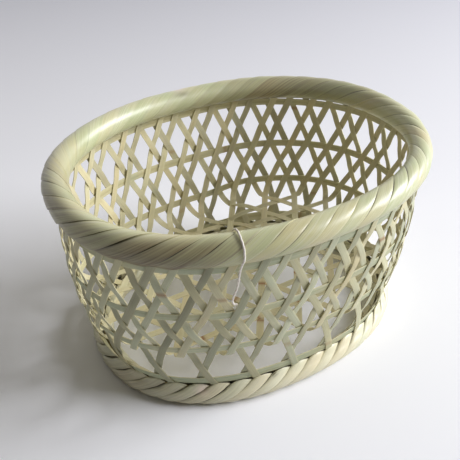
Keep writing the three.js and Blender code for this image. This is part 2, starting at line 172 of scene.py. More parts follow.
def dip_at(position, height):
    """How far the weave hangs low round the floor hoop, at the back left."""
    around = np.mod(position, SPLINT_COUNT)
    side = smooth((around - 7.4) / 3) * (1 - smooth((around - 17) / 4))
    return BACK_DIP * side * np.interp(height, [16, 40, 52, MIDDLE_HOOP, TOP_HOOP], [0, 1, 1, 0.12, 0])


def wall(position, height, offset=0):
    """Points, outward and along directions on the wall; position counts pitches round it."""
    position, height, offset = np.broadcast_arrays(*(np.asarray(v, float) for v in (position, height, offset)))
    a, b = oval_at(height)
    x, y = oval_point(a, b, angle_of_share(position / SPLINT_COUNT))
    ox, oy = oval_outward(a, b, x, y)
    out = offset + bulge_at(position, height)
    zero = np.zeros_like(x)
    points = np.stack([x + ox * out, y + oy * out, height - dip_at(position, height)], -1)
    return points, np.stack([ox, oy, zero], -1), np.stack([-oy, ox, zero], -1)


def eased(x, knots):
    """Steps between the (x, y) knots with level ends at each one."""
    x = np.asarray(x, float)
    kx, ky = np.asarray(knots, float).T
    k = np.clip(np.searchsorted(kx, x) - 1, 0, len(kx) - 2)
    return ky[k] + (ky[k + 1] - ky[k]) * smooth((x - kx[k]) / (kx[k + 1] - kx[k]))


# ---------------------------------------------------------------- mesh building
class Strips:
    """Collects strips as rings of points, with fibre coordinates and per-point values."""

    def __init__(self):
        self.points, self.faces, self.uvs, self.values = [], [], [], []
        self.count = 0

    def add(self, rings, closed, along, around, values):
        """rings is (n, m, 3) in mm; along is n or n + 1 distances in metres, around m + 1 of them."""
        n, m = rings.shape[:2]
        self.points.append(rings.reshape(-1, 3))
        self.values.append({k: np.broadcast_to(v, (n, m)).reshape(-1) for k, v in values.items()})
        i = np.arange(n if closed else n - 1)[:, None]
        j = np.arange(m)[None, :]
        i2, j2 = (i + 1) % n, (j + 1) % m
        quads = np.stack([i * m + j, i * m + j2, i2 * m + j2, i2 * m + j], -1).reshape(-1, 4) + self.count
        u = np.asarray(along, float)
        if len(u) == n:
            u = np.append(u, u[-1] + (u[-1] - u[-2]))
        v = np.asarray(around, float)
        corners = ((i, j), (i, j + 1), (i + 1, j + 1), (i + 1, j))
        uv = np.stack([np.stack(np.broadcast_arrays(u[a], v[b]), -1) for a, b in corners], -2)
        self.faces.append(quads)
        self.uvs.append(uv.reshape(-1, 2))
        if not closed:
            for ring, order in ((0, -1), (n - 1, 1)):
                cap = np.arange(m) + ring * m + self.count
                cap_uv = np.stack([np.full(m, u[ring]), v[:m]], -1)
                self.faces.append(cap[None, ::order])
                self.uvs.append(cap_uv[::order])
        self.count += n * m

    def mesh(self, name, sharp=38):
        """The strips as one mesh; edges sharper than this many degrees stay sharp."""
        mesh = bpy.data.meshes.new(name)
        polygons = [list(face) for faces in self.faces for face in faces]
        mesh.from_pydata((np.concatenate(self.points) * MM).tolist(), [], polygons)
        layer = mesh.uv_layers.new(name="fibre")
        layer.data.foreach_set("uv", np.concatenate(self.uvs).astype(np.float32).ravel())
        for key in self.values[0]:
            attribute = mesh.attributes.new(key, "FLOAT", "POINT")
            values = np.concatenate([v[key] for v in self.values])
            attribute.data.foreach_set("value", values.astype(np.float32))
        mesh.validate()
        mesh.shade_smooth()
        mesh.set_sharp_from_angle(angle=math.radians(sharp))
        return mesh


def distances(points):
    return np.concatenate([[0], np.cumsum(np.linalg.norm(np.diff(points, axis=0), axis=1))])


# Section of a split strip: across as a share of half the width, lift as a share of half the thickness
SECTION = np.array([(-1.0, 0.0), (-0.99, 0.62), (-0.9, 0.9), (-0.5, 1.03), (0, 1.1), (0.5, 1.03), (0.9, 0.9),
                    (0.99, 0.62), (1.0, 0.0), (0.97, -0.85), (0, -1.0), (-0.97, -0.85)])
SECTION_SKIN = np.array([0, 0.2, 1, 1, 1, 1, 1, 0.2, 0, 0, 0, 0])
# Where the cut edges are lightened: paler cut wood, lightened further as a painted highlight
SECTION_EDGE = np.array([1, 1, 0.15, 0, 0, 0, 0.15, 1, 1, 0.5, 0, 0.5])
section_mm = SECTION * np.array([HALF_WIDTH, SPLINT_THICKNESS / 2])
SECTION_AROUND = distances(np.vstack([section_mm, section_mm[:1]]))


# ---------------------------------------------------------------- materials
def srgb(r, g, b):
    def linear(c):
        c /= 255
        return c / 12.92 if c <= 0.04045 else ((c + 0.055) / 1.055) ** 2.4
    return linear(r), linear(g), linear(b), 1


class Nodes:
    """The node tree of a material or world, with short ways to add and link nodes."""

    def __init__(self, owner):
        owner.use_nodes = True
        self.tree = owner.node_tree

    def put(self, node, key, value):
        """Links the value to an input, or sets it there."""
        socket = node.inputs[key]
        if isinstance(value, bpy.types.NodeSocket):
            self.tree.links.new(value, socket)
        else:
            socket.default_value = value

    def add(self, kind, settings=(), **inputs):
        node = self.tree.nodes.new(kind)
        for key, value in dict(settings).items():
            setattr(node, key, value)
        for key, value in inputs.items():
            self.put(node, key.replace("_", " "), value)
        return node

    def shade(self, **inputs):
        for key, value in inputs.items():
            self.put(self.tree.nodes["Principled BSDF"], key.replace("_", " "), value)

    def mix(self, factor, a, b, blend="MIX"):
        node = self.add("ShaderNodeMix", {"data_type": "RGBA", "blend_type": blend})
        for index, value in ((0, factor), (6, a), (7, b)):
            self.put(node, index, value)
        return node.outputs[2]

    def math(self, operation, *values, clamp=False):
        node = self.add("ShaderNodeMath", {"operation": operation, "use_clamp": clamp})
        for index, value in enumerate(values):
            self.put(node, index, value)
        return node.outputs[0]

    def dot(self, vector, direction):
        node = self.add("ShaderNodeVectorMath", {"operation": "DOT_PRODUCT"})
        self.put(node, 0, vector)
        self.put(node, 1, direction)
        return node.outputs["Value"]

    def attribute(self, name):
        return self.add("ShaderNodeAttribute", {"attribute_name": name}).outputs["Fac"]

    def coordinates(self, kind):
        return self.add("ShaderNodeTexCoord").outputs[kind]

    def fibre(self, along, across):
        """Fibre coordinates scaled along and across the strip, which draws noise out into streaks."""
        uv = self.add("ShaderNodeUVMap", {"uv_map": "fibre"}).outputs["UV"]
        return self.add("ShaderNodeMapping", Vector=uv, Scale=(along, across, 1)).outputs[0]

    def noise(self, vector, scale, detail=2.0, roughness=0.5):
        node = self.add("ShaderNodeTexNoise", Vector=vector, Scale=scale, Detail=detail, Roughness=roughness)
        return node.outputs["Fac"]

    def spread(self, value, low, high, to_low=0.0, to_high=1.0, interpolation="LINEAR"):
        """The value's range from low to high, spread over the other range and held inside it."""
        node = self.add("ShaderNodeMapRange", {"clamp": True, "interpolation_type": interpolation},
                        Value=value, From_Min=low, From_Max=high, To_Min=to_low, To_Max=to_high)
        return node.outputs["Result"]

    def bump(self, height, strength, distance):
        node = self.add("ShaderNodeBump", Height=height, Strength=strength, Distance=distance)
        return node.outputs["Normal"]


# Colour of the cut edges: paler wood, lightened further as a painted highlight
EDGE_COLOUR, EDGE_SHARE = srgb(228, 222, 182), 0.85
STAIN_AND_SHADE_COLOUR, SEAM_SHADE_AND_SCAR_COLOUR = srgb(94, 77, 34), srgb(46, 38, 22)
MARK_COLOUR, SCAR_AND_HIGHLIGHT_COLOUR = srgb(150, 96, 48), srgb(232, 214, 194)
DARK_FIBRE, LIGHT_FIBRE, LIGHT_SHARE = (0.62, 0.6, 0.5, 1), (0.9, 0.88, 0.72, 1), 0.35


def bamboo(name, skin, pith, warm, cool, roughness, coat=0.0, streak=0.5):
    """Split bamboo: fibres along the strip, a green-grey skin outside and yellower wood inside."""
    material = bpy.data.materials.new(name)
    n = Nodes(material)
    fine = n.noise(n.fibre(30, 2600), 1.0, 4.0, 0.65)
    wide = n.noise(n.fibre(9, 520), 1.0)
    body = n.coordinates("Object")
    shifted = n.add("ShaderNodeMapping", Vector=body, Location=(3.1, 1.7, 0.4)).outputs[0]
    warm_patch = n.spread(n.noise(body, 38.0), 0.42, 0.68)
    cool_patch = n.spread(n.noise(shifted, 52.0), 0.45, 0.7)
    side, tint = n.attribute("skin"), n.attribute("tint")
    colour = n.mix(side, pith, skin)
    colour = n.mix(n.math("MULTIPLY", warm_patch, 0.6), colour, warm)
    colour = n.mix(n.math("MULTIPLY", cool_patch, 0.5), colour, cool)
    # A strip's tint is warm above 0 and cool below it, the cool one mostly on the skin
    colour = n.mix(n.math("MAXIMUM", tint, 0.0), colour, warm)
    coolness = n.math("MULTIPLY", tint, n.math("MULTIPLY_ADD", side, -0.7, -0.3))
    colour = n.mix(n.math("MAXIMUM", coolness, 0.0), colour, cool)
    dark = n.mix(1.0, colour, DARK_FIBRE, "MULTIPLY")
    light = n.mix(LIGHT_SHARE, colour, LIGHT_FIBRE)
    colour = n.mix(n.math("MULTIPLY", n.spread(wide, 0.46, 0.68), streak), colour, light)
    colour = n.mix(n.math("MULTIPLY", n.spread(fine, 0.48, 0.74), streak), colour, dark)
    colour = n.mix(n.math("MULTIPLY", n.attribute("edge"), EDGE_SHARE), colour, EDGE_COLOUR)
    uneven = n.math("MULTIPLY_ADD", n.spread(wide, 0.3, 0.7), 0.5, 0.7)
    # Brown stain, and painted shade where a side of the basket lies in shade
    colour = n.mix(n.math("MULTIPLY", n.attribute("stain_and_shade"), uneven, clamp=True), colour, STAIN_AND_SHADE_COLOUR)
    # Painted shade in the seams between bands; the same colour also draws dark scars
    colour = n.mix(n.attribute("seam_shade_and_scar"), colour, SEAM_SHADE_AND_SCAR_COLOUR)
    colour = n.mix(n.attribute("mark"), colour, MARK_COLOUR)
    # Pale scars, partly a painted highlight
    colour = n.mix(n.attribute("scar_and_highlight"), colour, SCAR_AND_HIGHLIGHT_COLOUR)
    relief = n.math("ADD", n.math("MULTIPLY", fine, 0.6), wide)
    n.shade(Base_Color=colour, Roughness=n.spread(fine, 0, 1, roughness - 0.06, roughness + 0.12),
            Normal=n.bump(relief, 0.25, 0.0002), Coat_Weight=coat, Coat_Roughness=0.4)
    return material


def twisted_thread(name):
    material = bpy.data.materials.new(name)
    n = Nodes(material)
    fuzz = n.noise(n.fibre(900, 2500), 1.0, 3.0)
    colour = n.mix(n.spread(fuzz, 0.3, 0.75), srgb(247, 243, 236), srgb(228, 219, 205))
    # Darker between the plies: painted shade in the grooves of the twist
    colour = n.mix(n.attribute("ply"), srgb(222, 210, 195), colour)
    n.shade(Base_Color=colour, Roughness=0.85, Sheen_Weight=0.3, Normal=n.bump(fuzz, 0.4, 0.0001))
    return material


# Skin, wood inside, warm patches and cool patches
BAMBOO_COLOURS = {
    "splint_bamboo": (srgb(196, 196, 162), srgb(220, 210, 170), srgb(220, 212, 164), srgb(166, 174, 146)),
    "floor_bamboo": (srgb(202, 203, 170), srgb(224, 214, 170), srgb(222, 205, 154), srgb(186, 190, 158)),
    "hoop_bamboo": (srgb(178, 182, 148), srgb(198, 188, 142), srgb(194, 184, 136), srgb(158, 168, 138)),
    "rim_bamboo": (srgb(214, 214, 168), srgb(196, 186, 134), srgb(218, 202, 147), srgb(190, 202, 151)),
    "foot_bamboo": (srgb(242, 237, 204), srgb(214, 202, 156), srgb(238, 224, 182), srgb(228, 230, 194)),
    "core_bamboo": (srgb(150, 138, 94), srgb(142, 128, 84), srgb(140, 122, 78), srgb(132, 134, 94)),
}
BAMBOO_FINISH = {
    "splint_bamboo": {"roughness": 0.46},
    "floor_bamboo": {"roughness": 0.5},
    "hoop_bamboo": {"roughness": 0.5},
    "rim_bamboo": {"roughness": 0.32, "coat": 0.5, "streak": 0.85},
    "foot_bamboo": {"roughness": 0.36, "coat": 0.3},
    "core_bamboo": {"roughness": 0.6},
}
MATERIALS = {slot: bamboo(slot, *colours, **BAMBOO_FINISH[slot]) for slot, colours in BAMBOO_COLOURS.items()}
MATERIALS["thread"] = twisted_thread("thread")


def add_piece(name, mesh, slot, node):
    """A visible piece in place of a node."""
    obj = link_object(name, mesh)
    mesh.materials.append(MATERIALS[slot])
    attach(obj, "root")
    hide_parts(node)
    return obj


# ---------------------------------------------------------------- thread
THREAD_ROUTE = [
    (-0.0479, -0.0717, 0.1281), (-0.0483, -0.0739, 0.1306), (-0.0488, -0.0773, 0.1322),
    (-0.0496, -0.0809, 0.1324), (-0.0502, -0.0843, 0.1310), (-0.0505, -0.0869, 0.1283),
    (-0.0508, -0.0881, 0.1248), (-0.0509, -0.0879, 0.1214), (-0.0508, -0.0855, 0.1169),
    (-0.0509, -0.0835, 0.1110), (-0.0508, -0.0821, 0.1048), (-0.0513, -0.0810, 0.0989),
    (-0.0523, -0.0800, 0.0945), (-0.0530, -0.0795, 0.0910), (-0.0528, -0.0794, 0.0888),
    (-0.0519, -0.0797, 0.0877), (-0.0506, -0.0801, 0.0877),
]
THREAD_DIAMETER, THREAD_AROUND = 1.2, 3.8
THREAD_SIDES, THREAD_STEPS = 18, 14
PLY_LENGTH = 3.4


def catmull_rom(points, steps):
    """Smooth line through the points."""
    p = np.asarray(points, float)
    p = np.vstack([2 * p[0] - p[1], p, 2 * p[-1] - p[-2]])
    t = np.linspace(0, 1, steps, endpoint=False)[:, None]
    out = [0.5 * (2 * b + (c - a) * t + (2 * a - 5 * b + 4 * c - d) * t ** 2 + (3 * b - a - 3 * c + d) * t ** 3)
           for a, b, c, d in zip(p, p[1:], p[2:], p[3:])]
    return np.vstack([*out, p[-2:-1]])


def make_thread():
    """Two plies twisted into a thread that thins out at its hanging end."""
    centre = catmull_rom(THREAD_ROUTE, THREAD_STEPS) / MM
    length = distances(centre)
    tangent = np.gradient(centre, axis=0)
    tangent /= np.linalg.norm(tangent, axis=1)[:, None]
    side = np.cross(tangent, (0.9, -0.4, 0.2))
    side /= np.linalg.norm(side, axis=1)[:, None]
    other = np.cross(tangent, side)
    turn = np.linspace(0, 2 * math.pi, THREAD_SIDES, endpoint=False)
    phase = turn[None, :] * 2 - length[:, None] * 2 * math.pi / PLY_LENGTH
    lobes = 0.5 + 0.5 * np.cos(phase)
    radius = THREAD_DIAMETER / 2 * (0.88 + 0.12 * lobes)
    end = np.minimum(1, (length[-1] - length + 0.15) / 0.5)[:, None]
    radius = radius * (0.6 + 0.4 * end)
    rings = (centre[:, None, :] + side[:, None, :] * (np.cos(turn) * radius)[..., None]
             + other[:, None, :] * (np.sin(turn) * radius)[..., None])
    strips = Strips()
    around = np.linspace(0, THREAD_AROUND, THREAD_SIDES + 1)
    strips.add(rings, False, length * MM, around * MM, {"ply": smooth(lobes * 1.6)})
    thread = add_piece("tag_thread_twisted", strips.mesh("tag_thread_twisted", 60), "thread", "tag_thread")


make_thread()

# ---------------------------------------------------------------- strips
NODE_RING, NODE_RISE = 1.3, 0.12  # reach along a strip and height of a bamboo node's ring, in millimetres
NODE_CHANCE = 0.45
SPLINT_STEP = 2.4
HOOP_HOLD, CROSSING_HOLD = 0.3, 0.16  # levels over which a splint keeps its layer at a hoop and a crossing


def random_marks(centre):
    """A brown node ring on some of the strips, as (distance along the strip, strength)."""
    if random.random() >= NODE_CHANCE:
        return []
    return [(random.uniform(0.05, 0.95) * distances(centre)[-1], random.uniform(0.35, 0.8))]


def add_strip(node, slot, centre, half, outward, tint, marks, stain_and_shade=0.0, closed=False):
    """A flat strip in place of a node; half goes from its middle line to one edge."""
    length = distances(centre)
    mark = np.zeros(len(length))
    for place, strength in marks:
        mark = np.maximum(mark, strength * np.exp(-((length - place) / NODE_RING) ** 2))
    mark = mark[:, None]
    rings = (centre[:, None, :] + half[:, None, :] * SECTION[None, :, 0, None]
             + outward[:, None, :] * (SECTION[None, :, 1, None] * SPLINT_THICKNESS / 2))
    rings = rings + outward[:, None, :] * (mark * SECTION_SKIN * NODE_RISE)[..., None]
    shift = random.uniform(0, 3)
    along = np.append(length, length[-1] + np.linalg.norm(centre[0] - centre[-1])) if closed else length
    values = {"skin": SECTION_SKIN[None, :], "edge": SECTION_EDGE[None, :], "mark": mark, "seam_shade_and_scar": 0.0,
              "stain_and_shade": stain_and_shade, "scar_and_highlight": 0.0, "tint": np.reshape(tint, (-1, 1))}
    strips = Strips()
    strips.add(rings, closed, along * MM + shift, SECTION_AROUND * MM + shift, values)
    add_piece(node + "_strip", strips.mesh(node + "_strip"), slot, node)


def lean_at(height):
    """Angle of the splints from upright."""
    level = level_of_height(height)
    rise = height_of_level(level + 0.5) - height_of_level(level - 0.5)
    return np.arctan2(PITCH / 2, rise)


def splint_position(number, lean, height):
    shift = 0 if number % 2 == 0 else PAIR_SHIFT
    return number - shift + lean * level_of_height(height) / 2


def layer_at(height, lean, is_floor, low_end):
    """Offset from the wall: outside or inside each hoop, and the other way at the crossings between."""
    late = PAIR_SHIFT if is_floor == (lean > 0) else -PAIR_SHIFT
    knots = list(low_end)
    for level in HOOP_LEVELS:
        knots += [(level - HOOP_HOLD + min(late, 0), lean * HOOP_LAYER),
                  (level + HOOP_HOLD + max(late, 0), lean * HOOP_LAYER)]
        if level < HOOP_LEVELS[-1]:
            knots += [(level + 1 - CROSSING_HOLD, -lean * CROSSING_LAYER),
                      (level + 1 + CROSSING_HOLD, -lean * CROSSING_LAYER)]
    return eased(level_of_height(height), knots)


def leg(number, lean, heights, is_floor, low_end):
    """Stations of a splint down the wall: middle line, half width and outward."""
    offset = layer_at(heights, lean, is_floor, low_end)
    centre, outward, along = wall(splint_position(number, lean, heights), heights, offset)
    return centre, along * (HALF_WIDTH / np.cos(lean_at(heights)))[:, None], outward


wall_heights = np.arange(SPLINT_TOP, FLOOR_HOOP, -SPLINT_STEP)

# ---------------------------------------------------------------- foot splints
FOLD_BOTTOM, FOLD_RISE, FOLD_START, CORE_TOP = 2.32, 6, 11.1, 11.5  # heights in millimetres
FOLD_INSET, FOLD_LEAN = 0.26, 0.42  # in pitches and in radians


def foot_knots(lean):
    """Layers of a foot splint below the floor hoop: beside the foot core, the low hoop and the crossing."""
    beside_hoop, crossing = -lean * HOOP_LAYER, -lean * CROSSING_LAYER
    return [(level_of_height(CORE_TOP + 0.1), -lean * CORE_LAYER),
            (level_of_height(LOW_HOOP - 3), beside_hoop), (level_of_height(LOW_HOOP + 3), beside_hoop),
            (-0.2, crossing), (0.16, crossing)]


def fold_station(number, lean, share):
    """A station of the fold under the foot core; at share 1 the strip stands on its edge."""
    position = splint_position(number, lean, FOLD_START) - lean * FOLD_INSET * share
    height = FOLD_BOTTOM + HALF_WIDTH + (1 - share) * FOLD_RISE
    centre, outward, along = wall(position, height, -lean * CORE_LAYER)
    half = along * HALF_WIDTH / math.cos(FOLD_LEAN) * (1 - share) + np.array([0, 0, HALF_WIDTH]) * share
    return centre, half / np.linalg.norm(half) * HALF_WIDTH, outward


def make_foot_splint(index):
    """A hairpin: down the wall, round under the foot core and up again, leaning the other way."""
    number = 2 * index
    heights = np.concatenate([wall_heights, np.arange(FLOOR_HOOP, CORE_TOP, -SPLINT_STEP / 1.4), [CORE_TOP]])
    down = leg(number, -1, heights, False, foot_knots(-1))
    up = leg(number + 2, 1, heights, False, foot_knots(1))
    folds = [fold_station(*station) for station in ((number, -1, 0.55), (number, -1, 1.0),
                                                    (number + 2, 1, 1.0), (number + 2, 1, 0.55))]
    fold_centre, fold_half, fold_outward = zip(*folds)
    centre = np.concatenate([down[0], fold_centre, up[0][::-1]])
    half = np.concatenate([down[1], fold_half, -up[1][::-1]])
    outward = np.concatenate([down[2], fold_outward, up[2][::-1]])
    tint_down, tint_up = random.uniform(-0.3, 0.7), random.uniform(-0.75, 0.1)
    tint = tint_down + (tint_up - tint_down) * smooth(np.linspace(-4, 5, len(centre)) + 0.5)
    half = half * random.uniform(0.9, 1.04)
    # Less stain at the front right is painted light and more at the front left painted shade; the random part
    # is the splint's own stain
    lit_front_right, shaded_front_left = float(bump_at(number, 39, 6)), float(bump_at(number, 26, 4))
    stain_and_shade = random.uniform(0.04, 0.36) * (1 - 0.7 * lit_front_right) + 0.22 * shaded_front_left
    add_strip(f"foot_splint_{index + 1:02d}", "splint_bamboo", centre, half, outward, tint,
              random_marks(centre), stain_and_shade)


# ---------------------------------------------------------------- floor splints
BEND_TOP, BEND_REACH, BEND_STEPS = 47.4, 8.5, 9
CROSSING_LIFT = 0.3
FLOOR_STEP = 1.6
TURN_LENGTH = 9  # over which a strip turns from the wall's direction to the floor's, in millimetres


def floor_end(count):
    """Stations of one end of a floor splint, from the rim down to the level floor."""
    number, lean = (count + 1, -1) if count % 2 == 0 else (count, 1)
    heights = np.concatenate([wall_heights, [FLOOR_HOOP, FLOOR_HOOP - 1.4]])
    centre, half, outward = leg(number, lean, heights, True, [(0.4, lean * HOOP_LAYER)])
    angle = np.linspace(0, 1, BEND_STEPS) * math.pi / 2
    start = splint_position(number, lean, BEND_TOP)
    dip = float(dip_at(start, BEND_TOP))
    reach = BEND_REACH + 0.5 * dip + lean * HOOP_LAYER
    drop = BEND_TOP - FLOOR_HEIGHT + (FLOOR_DIP_SHARE - 1) * dip
    inset, fall = reach * (1 - np.cos(angle)), drop * np.sin(angle)
    path = distances(np.stack([inset, fall], -1))
    position = start - lean * path * math.tan(lean_at(BEND_TOP)) / PITCH
    points, out, along = wall(position, BEND_TOP, lean * HOOP_LAYER - inset)
    points[:, 2] -= fall
    bend_half = along * (HALF_WIDTH / np.cos(lean_at(np.full(len(angle), BEND_TOP))))[:, None]
    bend_out = out * (drop * np.cos(angle))[:, None] - np.array([0, 0, reach]) * np.sin(angle)[:, None]
    bend_out /= np.linalg.norm(bend_out, axis=1)[:, None]
    return (np.concatenate([centre, points]), np.concatenate([half, bend_half]),
            np.concatenate([outward, bend_out]))


def floor_level(x, y):
    """Height of the floor, which hangs lower toward the back left."""
    a, b = oval_at(FLOOR_HEIGHT)
    power = OVAL_POWER / 2
    angle = np.arctan2(np.sign(y) * np.abs(y / b) ** power, np.sign(x) * np.abs(x / a) ** power)
    position = np.interp(np.mod(angle, 2 * math.pi), OVAL_ANGLES, OVAL_LENGTHS) / WALL_LENGTH * SPLINT_COUNT
    outer = (np.abs(x / a) ** OVAL_POWER + np.abs(y / b) ** OVAL_POWER) ** (1 / OVAL_POWER)
    return FLOOR_HEIGHT - FLOOR_DIP_SHARE * dip_at(position, BEND_TOP) * smooth((outer - 0.3) / 0.5)


def mirrored(count):
    """The splint end at the mirrored place, left for right."""
    return (PAIR_COUNT - 1 - count) % SPLINT_COUNT


FAMILIES = {"long": LONG_PAIRS, "right": RIGHT_PAIRS,
            "left": [(mirrored(p), mirrored(q)) for p, q in RIGHT_PAIRS]}
# Each family passes over one of the other two and under the third
OVER = {"long": "right", "right": "left", "left": "long"}
floor_ends = [floor_end(count) for count in range(SPLINT_COUNT)]


def floor_line(pair):
    return [floor_ends[count][0][-1][:2] for count in pair]


def crossings_along(family, pair):
    """Shares of a floor strip's length at which others cross it, with 1 where it is over and -1 under."""
    p, q = floor_line(pair)
    found = []
    for other, pairs in FAMILIES.items():
        if other == family:
            continue
        for r, s in map(floor_line, pairs):
            matrix = np.array([q - p, r - s]).T
            if abs(np.linalg.det(matrix)) < 1e-6:
                continue
            t, w = np.linalg.solve(matrix, r - p)
            if 0.02 < t < 0.98 and -0.01 < w < 1.01:
                found.append((t, 1 if OVER[family] == other else -1))
    return sorted(found)


# Brown nodes of the bamboo on the floor, toward the front
FLOOR_NODES = [(-23, -30), (-37, -49), (-57, -52), (-2, -26), (22, -27), (-20, -55), (8, -48)]


def floor_marks(centre):
    """Node rings at random, and where a strip passes one of the floor's nodes."""
    marks = random_marks(centre)
    for x, y in FLOOR_NODES:
        away = np.hypot(centre[:, 0] - x, centre[:, 1] - y) + np.where(centre[:, 2] < FLOOR_HEIGHT + 2, 0, 99)
        if away.min() < 5:
            marks.append((distances(centre)[away.argmin()], random.uniform(0.7, 1)))
    return marks


def make_floor_splint(family, index, pair):
    """A strip from the rim down the wall, straight over the floor and up the other side."""
    first, second = floor_ends[pair[0]], floor_ends[pair[1]]
    p, q = first[0][-1], second[0][-1]
    length = np.linalg.norm(q - p)
    t = np.linspace(0, 1, max(12, int(length / FLOOR_STEP)) + 1)[1:-1]
    lifts = [(share, way * CROSSING_LIFT) for share, way in crossings_along(family, pair)]
    floor = p + (q - p) * t[:, None]
    floor[:, 2] = floor_level(floor[:, 0], floor[:, 1]) + eased(t, [(0.0, 0.0)] + lifts + [(1.0, 0.0)])
    direction = (q - p) / length
    sideways = np.array([direction[1], -direction[0], 0]) * HALF_WIDTH
    if np.dot(sideways, first[1][-1]) < 0:
        sideways = -sideways
    near = smooth(t * length / TURN_LENGTH)
    far = smooth((1 - t) * length / TURN_LENGTH)
    floor_half = (first[1][-1] * (1 - near)[:, None] - second[1][-1] * (1 - far)[:, None]
                  + sideways * (near + far - 1)[:, None])
    down = np.tile([0, 0, -1.0], (len(t), 1))
    centre = np.concatenate([first[0], floor, second[0][::-1]])
    half = np.concatenate([first[1], floor_half, -second[1][::-1]]) * random.uniform(0.88, 1)
    outward = np.concatenate([first[2], down, second[2][::-1]])
    add_strip(f"floor_splint_{family}_{index + 1}", "floor_bamboo", centre, half, outward,
              random.uniform(-0.5, 0.4), floor_marks(centre), random.uniform(0, 0.2))


for index in range(PAIR_COUNT):
    make_foot_splint(index)
for family, pairs in FAMILIES.items():
    for index, pair in enumerate(pairs):
        make_floor_splint(family, index, pair)


# ---------------------------------------------------------------- hoops
HOOP_STATIONS = 6 * SPLINT_COUNT


def make_hoop(node, height, width, tint, sag, phase):
    """A hoop that was pulled round by hand, so it runs up and down a little."""
    position = np.linspace(0, SPLINT_COUNT, HOOP_STATIONS, endpoint=False)
    turn = position / SPLINT_COUNT * 2 * math.pi
    level = height + sag * np.sin(turn) + 0.35 * np.sin(3 * turn + phase) + 0.2 * np.sin(7 * turn + 2 * phase)
    centre, outward, _ = wall(position, level)
    low, high = wall(position, level - width / 2)[0], wall(position, level + width / 2)[0]
    add_strip(node, "hoop_bamboo", centre, (low - high) / 2, outward, tint,
              [(random.uniform(50, 600), 0.5)], closed=True)


# What is added to a height or width is how far the shown hoop is off the solid one
make_hoop("hoop_low", LOW_HOOP - 1.1, LOW_HOOP_WIDTH + 1.2, tint=-0.2, sag=0.1, phase=0.5)
make_hoop("hoop_floor", FLOOR_HOOP, HOOP_WIDTH, tint=0.1, sag=0.3, phase=1.9)
make_hoop("hoop_middle", MIDDLE_HOOP, HOOP_WIDTH + 0.3, tint=0, sag=0.6, phase=0.2)
make_hoop("hoop_top", TOP_HOOP + 0.2, HOOP_WIDTH + 0.2, tint=-0.1, sag=1.1, phase=3.1)


# ---------------------------------------------------------------- wrapped rings
# Positions and bands count 44 to the way round, from the right end over the back to the left end at 22
def rim_shape(position):
    """How far the rim is out, up and thicker than an even ring: thin at the right, full at the front left."""
    thin, full = bump_at(position, 40.6, 2.6), bump_at(position, 27.5, 3.6)
    out = -1.0 * thin + 0.4 * full + 0.6 * bump_at(position, 13, 2.2) - 0.5 * bump_at(position, 17, 1.6)
    return out, -0.4 * full, -0.9 * thin + 0.65 * full


def rim_look(band):
    """Brown stain and painted shade outside and inside, open seams and how many degrees they go round, for a
    rim band.
    """
    # Inside at bands 18.5 and 2.8 the darkening is painted shade; outside at bands 20.5 and 26.3 brown stain is
    # deepened with painted shade
    outer = 0.9 * bump_at(band, 26.3, 3) + 0.5 * bump_at(band, 1.5, 3) + 0.8 * bump_at(band, 20.5, 3) + 0.05
    inner = 0.2 * bump_at(band, 26.3, 3) + 0.4 * bump_at(band, 18.5, 3) + 0.7 * bump_at(band, 2.8, 4.6) + 0.03
    seam = bump_at(band, 26, 5) + 1.3 * bump_at(band, 41.5, 7.5) + 0.5 * bump_at(band, 34, 3)
    return (outer, inner), min(1.15, 0.42 + 0.75 * seam), 105 + 65 * bump_at(band, 41.5, 7)


def rim_notch(band):
    """The seams of the rim don't gape at the top."""
    return 0


def foot_shape(position):
    """The same three for the foot, which is drawn in at the front."""
    front = bump_at(position, 34, 4)
    return -0.8 * front, 0.2 * front, 0


def foot_look(band):
    """The same three for a foot band, whose seams go all the way round."""
    return (0.45 * bump_at(band, 24, 5) + 0.06, 0.1), 0.8 + 0.3 * bump_at(band, 26, 6), 360


def foot_notch(band):
    """How far the seams of the foot gape at the top."""
    return 1.25 * bump_at(band, 39, 4) + bump_at(band, 24, 4)


def scar_and_highlight_values(scars_and_highlights, share, turns, radius):
    """Pale scars, partly a painted highlight, and dark ones, given as (position, degrees round, size in mm,
    darkness); a dark tail follows each pale one.
    """
    light, dark = np.zeros(share.shape), np.zeros(share.shape)
    for position, scar_turn, size, darkness in scars_and_highlights:
        across = (share * SPLINT_COUNT - position) * PITCH
        around = (turns - scar_turn)[:, None] * math.pi / 180 * radius
        near = np.exp(-(across ** 2 + around ** 2) / size ** 2)
        beyond = np.exp(-(across / size) ** 2 - ((around - 1.7 * size) / (0.5 * size)) ** 2)
        light = np.maximum(light, near * (1 - darkness))
        dark = np.maximum(dark, np.maximum(near * darkness, 0.5 * beyond * (1 - darkness)))
    return light, dark


